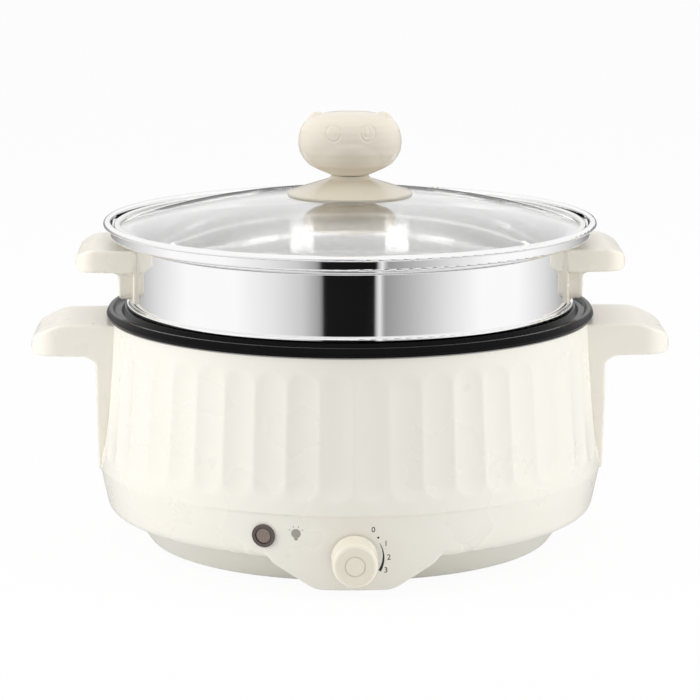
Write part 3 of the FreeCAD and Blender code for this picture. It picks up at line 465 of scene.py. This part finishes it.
def tone_by_bearing(tree, split):
    """The studio's tones in a ramp that runs once round the horizon."""
    ahead = add_node(tree, "ShaderNodeMath", operation="MULTIPLY")
    ahead.inputs[1].default_value = -1.0
    tree.links.new(split.outputs["Y"], ahead.inputs[0])
    bearing = add_node(tree, "ShaderNodeMath", operation="ARCTAN2")
    tree.links.new(split.outputs["X"], bearing.inputs[0])
    tree.links.new(ahead.outputs[0], bearing.inputs[1])
    share = add_node(tree, "ShaderNodeMapRange")
    share.inputs["From Min"].default_value = -math.pi
    share.inputs["From Max"].default_value = math.pi
    tree.links.new(bearing.outputs[0], share.inputs["Value"])
    ramp = add_node(tree, "ShaderNodeValToRGB")
    ramp.color_ramp.elements.remove(ramp.color_ramp.elements[1])
    for index, (degrees, tone) in enumerate(studio_stops):
        position = (degrees + 180.0) / 360.0
        if index == 0:
            stop = ramp.color_ramp.elements[0]
            stop.position = position
        else:
            stop = ramp.color_ramp.elements.new(position)
        stop.color = linear(tone, tone, tone)
    tree.links.new(share.outputs["Result"], ramp.inputs["Fac"])
    return ramp.outputs["Color"]


def fade_to(tree, split, colour, span, tone):
    """Fades a colour to a tone between two heights of the direction."""
    share = add_node(tree, "ShaderNodeMapRange")
    share.inputs["From Min"].default_value = span[0]
    share.inputs["From Max"].default_value = span[1]
    tree.links.new(split.outputs["Z"], share.inputs["Value"])
    mix = add_node(tree, "ShaderNodeMix", data_type="RGBA")
    tree.links.new(share.outputs["Result"], mix.inputs[0])
    tree.links.new(colour, mix.inputs[6])
    mix.inputs[7].default_value = linear(tone, tone, tone)
    return mix.outputs[2]


def studio_colour(tree):
    """The studio's tone by bearing, with a dark card in front, and white above and below."""
    place = add_node(tree, "ShaderNodeTexCoord")
    split = add_node(tree, "ShaderNodeSeparateXYZ")
    tree.links.new(place.outputs["Generated"], split.inputs[0])
    level = tone_by_bearing(tree, split)
    upper = fade_to(tree, split, level, studio_rise, studio_above)
    return fade_to(tree, split, upper, studio_fall, studio_below)


def make_floor():
    """A pale floor, white to the eye but for a soft shadow."""
    mesh = bpy.data.meshes.new("floor")
    shape = bmesh.new()
    bmesh.ops.create_grid(shape, x_segments=1, y_segments=1, size=floor_half_size)
    shape.to_mesh(mesh)
    shape.free()
    floor = bpy.data.objects.new("floor", mesh)
    bpy.context.scene.collection.objects.link(floor)
    material = bpy.data.materials.new("floor_white")
    material.use_nodes = True
    tree = material.node_tree
    tree.nodes.clear()
    out = add_node(tree, "ShaderNodeOutputMaterial")
    path = add_node(tree, "ShaderNodeLightPath")
    matte = add_node(tree, "ShaderNodeBsdfDiffuse")
    matte.inputs["Color"].default_value = (0.9, 0.9, 0.9, 1)
    glow = add_node(tree, "ShaderNodeEmission", Strength=1.0)
    glow.inputs["Color"].default_value = (1, 1, 1, 1)
    share = add_node(tree, "ShaderNodeMath", operation="MULTIPLY")
    share.inputs[1].default_value = floor_glow_share
    tree.links.new(path.outputs["Is Camera Ray"], share.inputs[0])
    mix = add_node(tree, "ShaderNodeMixShader")
    tree.links.new(share.outputs[0], mix.inputs[0])
    tree.links.new(matte.outputs[0], mix.inputs[1])
    tree.links.new(glow.outputs[0], mix.inputs[2])
    tree.links.new(mix.outputs[0], out.inputs["Surface"])
    mesh.materials.append(material)
    floor.visible_glossy = False


def new_piece(name, vertices, faces, finish, body, *replaced):
    """A mesh piece with its material, smooth but for sharp edges, riding on a body."""
    mesh = bpy.data.meshes.new(name)
    mesh.from_pydata([tuple(v) for v in vertices], [], faces)
    mesh.validate()
    shape = bmesh.new()
    shape.from_mesh(mesh)
    bmesh.ops.recalc_face_normals(shape, faces=shape.faces)
    shape.to_mesh(mesh)
    shape.free()
    mesh.shade_smooth()
    mesh.set_sharp_from_angle(angle=math.radians(sharp_angle))
    mesh.materials.append(finish)
    piece = bpy.data.objects.new(name, mesh)
    bpy.context.scene.collection.objects.link(piece)
    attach(piece, body)
    if replaced:
        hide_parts(*replaced)
    return piece


def settled(piece):
    """Applies a piece's modifiers to its mesh."""
    graph = bpy.context.evaluated_depsgraph_get()
    mesh = bpy.data.meshes.new_from_object(piece.evaluated_get(graph))
    piece.modifiers.clear()
    piece.data = mesh
    return piece


def softened(piece, voxel, rounds):
    """Rounds a piece's edges: an even mesh of small faces, smoothed a number of rounds."""
    even = piece.modifiers.new("even", "REMESH")
    even.mode = "VOXEL"
    even.voxel_size = voxel
    even.use_smooth_shade = True
    smooth = piece.modifiers.new("smooth", "SMOOTH")
    smooth.factor = 0.5
    smooth.iterations = rounds
    return settled(piece)


def rounded(corners, steps=6):
    """The points of an open outline whose corners (a, b, radius) are rounded."""
    points = []
    for index, corner in enumerate(corners):
        here = Vector(corner[:2])
        if len(corner) == 2:
            points.append(tuple(here))
            continue
        back = (Vector(corners[index - 1][:2]) - here).normalized()
        ahead = (Vector(corners[index + 1][:2]) - here).normalized()
        half = back.angle(ahead) / 2
        centre = here + (back + ahead).normalized() * corner[2] / math.sin(half)
        first = here + back * corner[2] / math.tan(half) - centre
        turn = math.pi - 2 * half
        sign = 1.0 if first.x * back.y - first.y * back.x < 0 else -1.0
        for step in range(steps + 1):
            angle = sign * turn * step / steps
            cosine, sine = math.cos(angle), math.sin(angle)
            points.append(
                (
                    centre.x + first.x * cosine - first.y * sine,
                    centre.y + first.x * sine + first.y * cosine,
                )
            )
    return points


def along(points, value):
    """The first value of the pair whose second is value, on a line that falls in its second."""
    for (a0, b0), (a1, b1) in zip(points, points[1:]):
        if b1 <= value <= b0 and b0 > b1:
            return a0 + (a1 - a0) * (b0 - value) / (b0 - b1)
    return points[0][0] if value > points[0][1] else points[-1][0]


def clamp(value):
    """The value, kept between 0 and 1."""
    return max(0.0, min(1.0, value))


def panel_face_r(z):
    """The panel's radius at a height, from the panel's own axis."""
    share = (z - panel_low_z) / (panel_top_z - panel_low_z)
    return panel_low_r + share * (panel_top_r - panel_low_r)


def panel_radius(bearing, z):
    """How far the panel's face stands from the pot's axis."""
    side = panel_axis_y * math.sin(bearing)
    return math.sqrt(panel_face_r(z) ** 2 - side**2) - panel_axis_y * math.cos(bearing)


def apron_slope():
    """How fast the apron's lower edge rises to the side."""
    return (lip_z - panel_low_z) / (apron_lip_half_width - apron_foot_half_width)


def apron_low_z(x):
    """The apron's lower edge at x: flat in the middle, a rounded corner, then a slope."""
    slope = apron_slope()
    lean = math.atan(slope)
    bend_start = apron_foot_half_width - apron_corner_r * math.tan(lean / 2)
    bend_end = bend_start + apron_corner_r * math.sin(lean)
    x = abs(x)
    if x <= bend_start:
        return panel_low_z
    if x <= bend_end:
        return panel_low_z + apron_corner_r - math.sqrt(apron_corner_r**2 - (x - bend_start) ** 2)
    return min(lip_z, panel_low_z + (x - apron_foot_half_width) * slope)


def flute_cut(bearing, z):
    """How deep a flute is at a place on the wall."""
    if not flute_low_z < z < flute_high_z:
        return 0.0
    sector = bearing * flute_count / (2 * math.pi)
    across = 2 * (sector - math.floor(sector)) - 1
    near_end = min(z - flute_low_z, flute_high_z - z)
    closing = (1 - clamp(near_end / flute_end)) ** 2
    return flute_depth * max(0.0, 1 - across**2 - closing)


def wall_radius(outline, bearing, z):
    """The casing's outer surface, with its flutes and the panel's face let into it."""
    radius = along(outline, z) - flute_cut(bearing, z)
    x = radius * math.sin(bearing)
    if z > panel_top_z or abs(bearing) > math.pi / 2:
        return radius
    half_width = min(panel_half_width, apron_lip_half_width + (z - lip_z) / apron_slope())
    share = clamp((half_width - abs(x)) / crease + 1) * clamp((panel_top_z - z) / crease)
    return radius + (panel_radius(bearing, z) - radius) * share


def casing_levels(straight_z):
    """The heights of a column's rows, down to the bend over the lip."""
    levels = [casing_top_z, casing_top_z - top_band, flute_high_z + flute_margin]
    ends = rows_per_flute_end
    levels += [flute_high_z - flute_end * step / ends for step in range(ends + 1)]
    span = flute_high_z - flute_low_z - 2 * flute_end
    middle = rows_per_flute
    levels += [flute_high_z - flute_end - span * step / middle for step in range(1, middle)]
    levels += [flute_low_z + flute_end * (ends - step) / ends for step in range(ends + 1)]
    levels += belly_rows
    levels += [panel_top_z, panel_top_z - crease / 2, panel_top_z - crease]
    rest = rows_below_panel_top
    first = panel_top_z - crease
    levels += [first + (straight_z - first) * step / rest for step in range(1, rest + 1)]
    return levels


def casing_column(outline, bearing):
    """One bearing's outline: down the outside, round the foot and up the inside."""
    low_z = apron_low_z(belly_r * math.sin(bearing)) if abs(bearing) < math.pi / 2 else lip_z
    hang = clamp((lip_z - low_z) / apron_hang)
    bend = lip_bend_r + (casing_wall / 2 - lip_bend_r) * hang
    straight_z = low_z + bend
    levels = casing_levels(straight_z)
    column = [(wall_radius(outline, bearing, z), z) for z in levels]
    edge_r = column[-1][0]
    lean = lip_lean * (1 - hang)
    for step in range(1, rows_round_lip + 1):
        angle = math.pi / 2 * step / rows_round_lip
        drawn_in = bend * (1 - math.cos(angle)) + lean * step / rows_round_lip
        column.append((edge_r - drawn_in, straight_z - bend * math.sin(angle)))
    inner_r = edge_r - casing_wall
    column.append((inner_r + (lip_inside_r - inner_r) * (1 - hang), low_z + apron_edge_rise * hang))
    column.append((inner_r + (lip_floor_r - inner_r) * (1 - hang), lip_z))
    column.append((lip_inner_r, lip_z))
    column.append((lip_inner_r, lip_z + casing_wall))
    column.append((lip_outer_r - 2 * casing_wall, lip_z + casing_wall))
    column.append((belly_r - 2 * casing_wall, belly_z))
    column.append((casing_top_r - casing_wall, casing_top_z))
    return column


def casing_outline():
    """The casing's wall from the top down, without flutes and panel."""
    return rounded(
        [
            (casing_top_r, casing_top_z),
            (belly_r, belly_z, belly_bend_r),
            (lip_outer_r, lip_z),
        ]
    )


def make_casing(finish):
    """The fluted casing with its panel and apron, and a hole for the inlet."""
    outline = casing_outline()
    count = flute_count * columns_per_flute
    vertices = []
    faces = []
    for index in range(count):
        bearing = 2 * math.pi * index / count - math.pi
        column = casing_column(outline, bearing)
        for radius, z in column:
            vertices.append((radius * math.sin(bearing), -radius * math.cos(bearing), z))
    rows = len(column)
    for index in range(count):
        here = index * rows
        there = (index + 1) % count * rows
        for row in range(rows):
            below = (row + 1) % rows
            faces.append((here + row, there + row, there + below, here + below))
    casing = new_piece("casing", vertices, faces, finish, "base", "outer_casing")
    hole = box_between(
        (-inlet_half_width, inlet_cut_near_y, inlet_z - inlet_half_height),
        (inlet_half_width, inlet_cut_far_y, inlet_z + inlet_half_height),
    )
    cut = casing.modifiers.new("inlet_hole", "BOOLEAN")
    cut.operation = "DIFFERENCE"
    cut.object = hole
    settled(casing)
    bpy.data.objects.remove(hole)
    return casing


def box_between(low, high):
    """A box between two corners, to cut with."""
    mesh = bpy.data.meshes.new("cutter")
    shape = bmesh.new()
    bmesh.ops.create_cube(shape, size=1.0)
    middle = (Vector(low) + Vector(high)) / 2
    size = Vector(high) - Vector(low)
    bmesh.ops.transform(
        shape, matrix=Matrix.Translation(middle) @ Matrix.Diagonal((*size, 1)), verts=shape.verts
    )
    shape.to_mesh(mesh)
    shape.free()
    cutter = bpy.data.objects.new("cutter", mesh)
    bpy.context.scene.collection.objects.link(cutter)
    return cutter


def moulded_handle(frame, node, name, finish, body, wall_r, push):
    """A handle with its mould's rounded edges, pressed against the wall that carries it."""
    source = frame["nodes"][node].data
    vertices = []
    for vertex in source.vertices:
        place = vertex.co.copy()
        radius = math.hypot(place.x, place.y)
        if radius < wall_r(place.z) + seat_reach:
            place.x *= (radius - push) / radius
            place.y *= (radius - push) / radius
        vertices.append(place)
    faces = [tuple(polygon.vertices) for polygon in source.polygons]
    handle = new_piece(name, vertices, faces, finish, body, node)
    weld = handle.modifiers.new("weld", "WELD")
    weld.merge_threshold = handle_weld
    return softened(handle, handle_voxel, handle_smoothing)


def make_handles(frame, finishes):
    """The casing's two handles and the steamer's two."""
    outline = casing_outline()
    for side in ("left", "right"):
        moulded_handle(
            frame,
            side + "_handle",
            side + "_grip",
            finishes["handle"],
            "base",
            lambda z: along(outline, z),
            handle_push,
        )
        moulded_handle(
            frame,
            "steamer_%s_handle" % side,
            "steamer_%s_grip" % side,
            finishes["ear"],
            "steamer",
            lambda z: steamer_wall_r + ear_plate,
            ear_plate + ear_push,
        )


# The head's outline from its neck up: half width and height
head_profile = [
    (0.0106, 0.2127),
    (0.0134, 0.2139),
    (0.0188, 0.2161),
    (0.0238, 0.2189),
    (0.0265, 0.2222),
    (0.0288, 0.2262),
    (0.0295, 0.2308),
    (0.0292, 0.2350),
    (0.0282, 0.2390),
    (0.0262, 0.2425),
    (0.0232, 0.2452),
    (0.0190, 0.2470),
    (0.0130, 0.2483),
    (0.0060, 0.2489),
]


def head_shell():
    """The head's rings as vertices and faces, closed at both ends."""
    vertices = []
    faces = []
    for radius, z in head_profile:
        for index in range(head_segments):
            angle = 2 * math.pi * index / head_segments
            depth = head_half_depth / head_half_width * radius
            if z < head_neck_z:
                depth = max(depth, head_neck_depth_share * radius)
            vertices.append((radius * math.cos(angle), depth * math.sin(angle), z))
    rings = len(head_profile)
    for ring in range(rings - 1):
        for index in range(head_segments):
            following = (index + 1) % head_segments
            a = ring * head_segments + index
            b = ring * head_segments + following
            faces.append((a, b, b + head_segments, a + head_segments))
    faces.append(tuple(reversed(range(head_segments))))
    faces.append(tuple(range((rings - 1) * head_segments, rings * head_segments)))
    return vertices, faces


def make_head(finish):
    """The animal head: a squashed ball with two small ears, a muzzle and engraved eyes."""
    vertices, faces = head_shell()
    for side in (-1, 1):
        add_ball(vertices, faces, (side * head_ear_x, 0.0, head_ear_z), head_ear_size)
    head = new_piece("animal_head", vertices, faces, finish, "lid", "lid_knob_head")
    softened(head, head_voxel, head_smoothing)
    for vertex in head.data.vertices:
        sculpt_face(vertex)
    head.data.update()
    return head


def sculpt_face(vertex):
    """Moves a front vertex for the muzzle's bulge and the engraved eyes."""
    place = vertex.co
    if place.y > -face_front_y:
        return
    front = clamp((-place.y - face_front_y) / face_fade)
    across = place.x / muzzle_half_width
    up = (place.z - muzzle_z) / muzzle_half_height
    bulge = clamp(1 - across**2 - up**2)
    place.y -= muzzle_proud * front * bulge * bulge * (3 - 2 * bulge)
    for side in (-1, 1):
        for centre_x, centre_z, half_width, half_height, depth in (eye_outer, eye_inner):
            ring = math.hypot(
                (place.x - side * centre_x) / half_width, (place.z - centre_z) / half_height
            )
            groove = ((ring - 1) * half_width / eye_groove_width) ** 2
            place.y += depth * front * math.exp(-groove)


def add_ball(vertices, faces, centre, size):
    """A closed ball among the vertices, as wide as size says along each axis."""
    rings = ball_rings
    segments = 2 * ball_rings
    first = len(vertices)
    vertices.append((centre[0], centre[1], centre[2] - size[2]))
    for ring in range(1, rings):
        angle = math.pi * ring / rings - math.pi / 2
        for index in range(segments):
            turn = 2 * math.pi * index / segments
            vertices.append(
                (
                    centre[0] + size[0] * math.cos(angle) * math.cos(turn),
                    centre[1] + size[1] * math.cos(angle) * math.sin(turn),
                    centre[2] + size[2] * math.sin(angle),
                )
            )
    vertices.append((centre[0], centre[1], centre[2] + size[2]))
    last = len(vertices) - 1
    for index in range(segments):
        following = (index + 1) % segments
        faces.append((first, first + 1 + following, first + 1 + index))
        top = last - segments
        faces.append((last, top + index, top + following))
        for ring in range(rings - 2):
            a = first + 1 + ring * segments
            faces.append((a + index, a + following, a + following + segments, a + index + segments))


def lamp_place():
    """The lamp's seat on the panel, and the axes across, up and outward there."""
    slope = (panel_top_r - panel_low_r) / (panel_top_z - panel_low_z)
    radius = panel_face_r(lamp_z)
    angle = math.asin(lamp_x / radius)
    level = Vector((math.sin(angle), -math.cos(angle), 0))
    seat = Vector((0, panel_axis_y, lamp_z)) + level * radius
    outward = (level - Vector((0, 0, slope))).normalized()
    across = Vector((0, 0, 1)).cross(outward).normalized()
    return seat, across, outward.cross(across), outward


def make_lens(finish):
    """The lamp's lens: a disc with upright ridges, on its barrel."""
    seat, across, up, outward = lamp_place()
    rings = lens_rings
    segments = lens_segments
    vertices = [seat - outward * lamp_tube_depth]
    faces = []
    for ring in range(rings + 1):
        share = 1 - ring / (rings + 1)
        for index in range(segments):
            turn = 2 * math.pi * index / segments
            u = lamp_lens_r * share * math.cos(turn)
            v = lamp_lens_r * share * math.sin(turn)
            ridge = lens_ridge_height * abs(math.cos(math.pi * u / lens_ridge_pitch))
            rise = (lens_proud - lens_ridge_height + ridge) * clamp((1 - share) * lens_edge_steepness)
            vertices.append(seat + across * u + up * v + outward * rise)
    vertices.append(seat + outward * lens_proud)
    last = len(vertices) - 1
    base = len(vertices)
    for index in range(segments):
        turn = 2 * math.pi * index / segments
        around = across * math.cos(turn) + up * math.sin(turn)
        vertices.append(seat + around * lamp_lens_r - outward * lamp_tube_depth)
    for index in range(segments):
        following = (index + 1) % segments
        for ring in range(rings):
            a = 1 + ring * segments
            faces.append((a + index, a + following, a + segments + following, a + segments + index))
        inner = 1 + rings * segments
        faces.append((inner + index, inner + following, last))
        faces.append((1 + following, 1 + index, base + index, base + following))
        faces.append((base + following, base + index, 0))
    return new_piece("ridged_lens", vertices, faces, finish, "base", "indicator_lens")


def on_panel(x, z, lift):
    """A point at a height over the panel's face."""
    return Vector((x, panel_axis_y - math.sqrt(panel_face_r(z) ** 2 - x**2) - lift, z))


def print_strip(name, left, right, finish):
    """A thin printed strip on the panel between two lines of points (x, z)."""
    vertices = []
    for lift in (print_lift, print_lift - print_depth):
        for line in (left, right):
            vertices += [on_panel(x, z, lift) for x, z in line]
    count = len(left)
    faces = []
    for step in range(count - 1):
        a, b = step, step + 1
        for shift, flip in ((0, False), (2 * count, True)):
            face = (shift + a, shift + b, shift + count + b, shift + count + a)
            faces.append(tuple(reversed(face)) if flip else face)
        faces.append((a, 2 * count + a, 2 * count + b, b))
        faces.append((count + b, 3 * count + b, 3 * count + a, count + a))
    faces.append((0, count, 3 * count, 2 * count))
    end = count - 1
    faces.append((end, 2 * count + end, 3 * count + end, count + end))
    return new_piece(name, vertices, faces, finish, "base")


def scale_point(degrees, radius):
    """A point round the dial; degrees go clockwise from the top, seen from the front."""
    angle = math.radians(degrees)
    return radius * math.sin(angle), dial_z + radius * math.cos(angle)


def print_disc(name, x, z, radius, finish):
    """A round print."""
    left = []
    right = []
    for step in range(disc_steps + 1):
        angle = math.radians(2 * disc_reach * step / disc_steps - disc_reach)
        left.append((x - radius * math.cos(angle), z + radius * math.sin(angle)))
        right.append((x + radius * math.cos(angle), z + radius * math.sin(angle)))
    return print_strip(name, left, right, finish)


def print_scale(dark):
    """The dial's scale: a growing wedge, a dot and plain numbers."""
    inner = []
    outer = []
    for step in range(scale_steps + 1):
        share = step / scale_steps
        degrees = scale_low_angle + (scale_high_angle - scale_low_angle) * share
        half_width = scale_half_width_low + scale_widening * share
        inner.append(scale_point(degrees, scale_r - half_width))
        outer.append(scale_point(degrees, scale_r + half_width))
    print_strip("scale_wedge", inner, outer, dark)
    x, z = scale_point(scale_dot_angle, scale_r + scale_dot_shift)
    print_disc("scale_dot", x, z, scale_dot_r, dark)
    for index, degrees in enumerate(number_angles):
        x, z = scale_point(degrees, number_r)
        print_text("scale_number_%d" % index, str(index), x, z, number_size, dark)


def print_lamp_sign(grey):
    """The lamp's sign: a bulb with its cap and four rays."""
    bulb_z = icon_z + icon_bulb_shift
    print_disc("lamp_sign_bulb", icon_x, bulb_z, icon_bulb_r, grey)
    cap = []
    for x in (icon_x - icon_cap_half_width, icon_x + icon_cap_half_width):
        cap.append([(x, icon_z - icon_cap_low), (x, icon_z - icon_cap_high)])
    print_strip("lamp_sign_cap", cap[0], cap[1], grey)
    for index, degrees in enumerate(icon_ray_angles):
        angle = math.radians(degrees)
        ray = Vector((math.sin(angle), math.cos(angle)))
        side = Vector((ray.y, -ray.x)) * icon_ray_half_width
        start = Vector((icon_x, bulb_z)) + ray * icon_ray_start
        tip = start + ray * icon_ray_length
        left = [tuple(start - side), tuple(tip - side)]
        right = [tuple(start + side), tuple(tip + side)]
        print_strip("lamp_sign_ray_%d" % index, left, right, grey)


def print_text(name, words, x, z, size, finish):
    """A number printed on the panel, square to its face."""
    font = bpy.data.curves.new(name, "FONT")
    font.body = words
    font.size = size
    font.align_x = "CENTER"
    font.align_y = "CENTER"
    font.extrude = print_depth / 2
    letter = bpy.data.objects.new(name + "_outline", font)
    bpy.context.scene.collection.objects.link(letter)
    bpy.context.view_layer.update()
    graph = bpy.context.evaluated_depsgraph_get()
    mesh = bpy.data.meshes.new_from_object(letter.evaluated_get(graph))
    bpy.data.objects.remove(letter)
    for vertex in mesh.vertices:
        flat = vertex.co.copy()
        place = on_panel(x + flat.x, z + flat.y, print_lift - print_depth / 2)
        vertex.co = place - Vector((0, flat.z, 0))
    mesh.materials.clear()
    mesh.materials.append(finish)
    piece = bpy.data.objects.new(name, mesh)
    bpy.context.scene.collection.objects.link(piece)
    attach(piece, "base")
    return piece


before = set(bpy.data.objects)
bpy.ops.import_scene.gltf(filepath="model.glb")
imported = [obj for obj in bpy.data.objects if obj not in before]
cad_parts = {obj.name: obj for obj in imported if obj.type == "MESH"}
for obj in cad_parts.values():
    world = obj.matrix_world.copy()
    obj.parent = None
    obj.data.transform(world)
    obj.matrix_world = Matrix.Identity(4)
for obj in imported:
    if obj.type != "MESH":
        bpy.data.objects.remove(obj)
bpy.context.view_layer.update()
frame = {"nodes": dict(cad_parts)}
bpy.context.scene.view_settings.view_transform = "Standard"
make_camera()
make_lamps()
make_world()
make_floor()
finishes = make_materials()
dress_nodes(frame, finishes)
make_casing(finishes["casing"])
make_handles(frame, finishes)
make_head(finishes["knob"])
make_lens(finishes["lens"])
print_scale(finishes["print"])
print_lamp_sign(finishes["grey_print"])
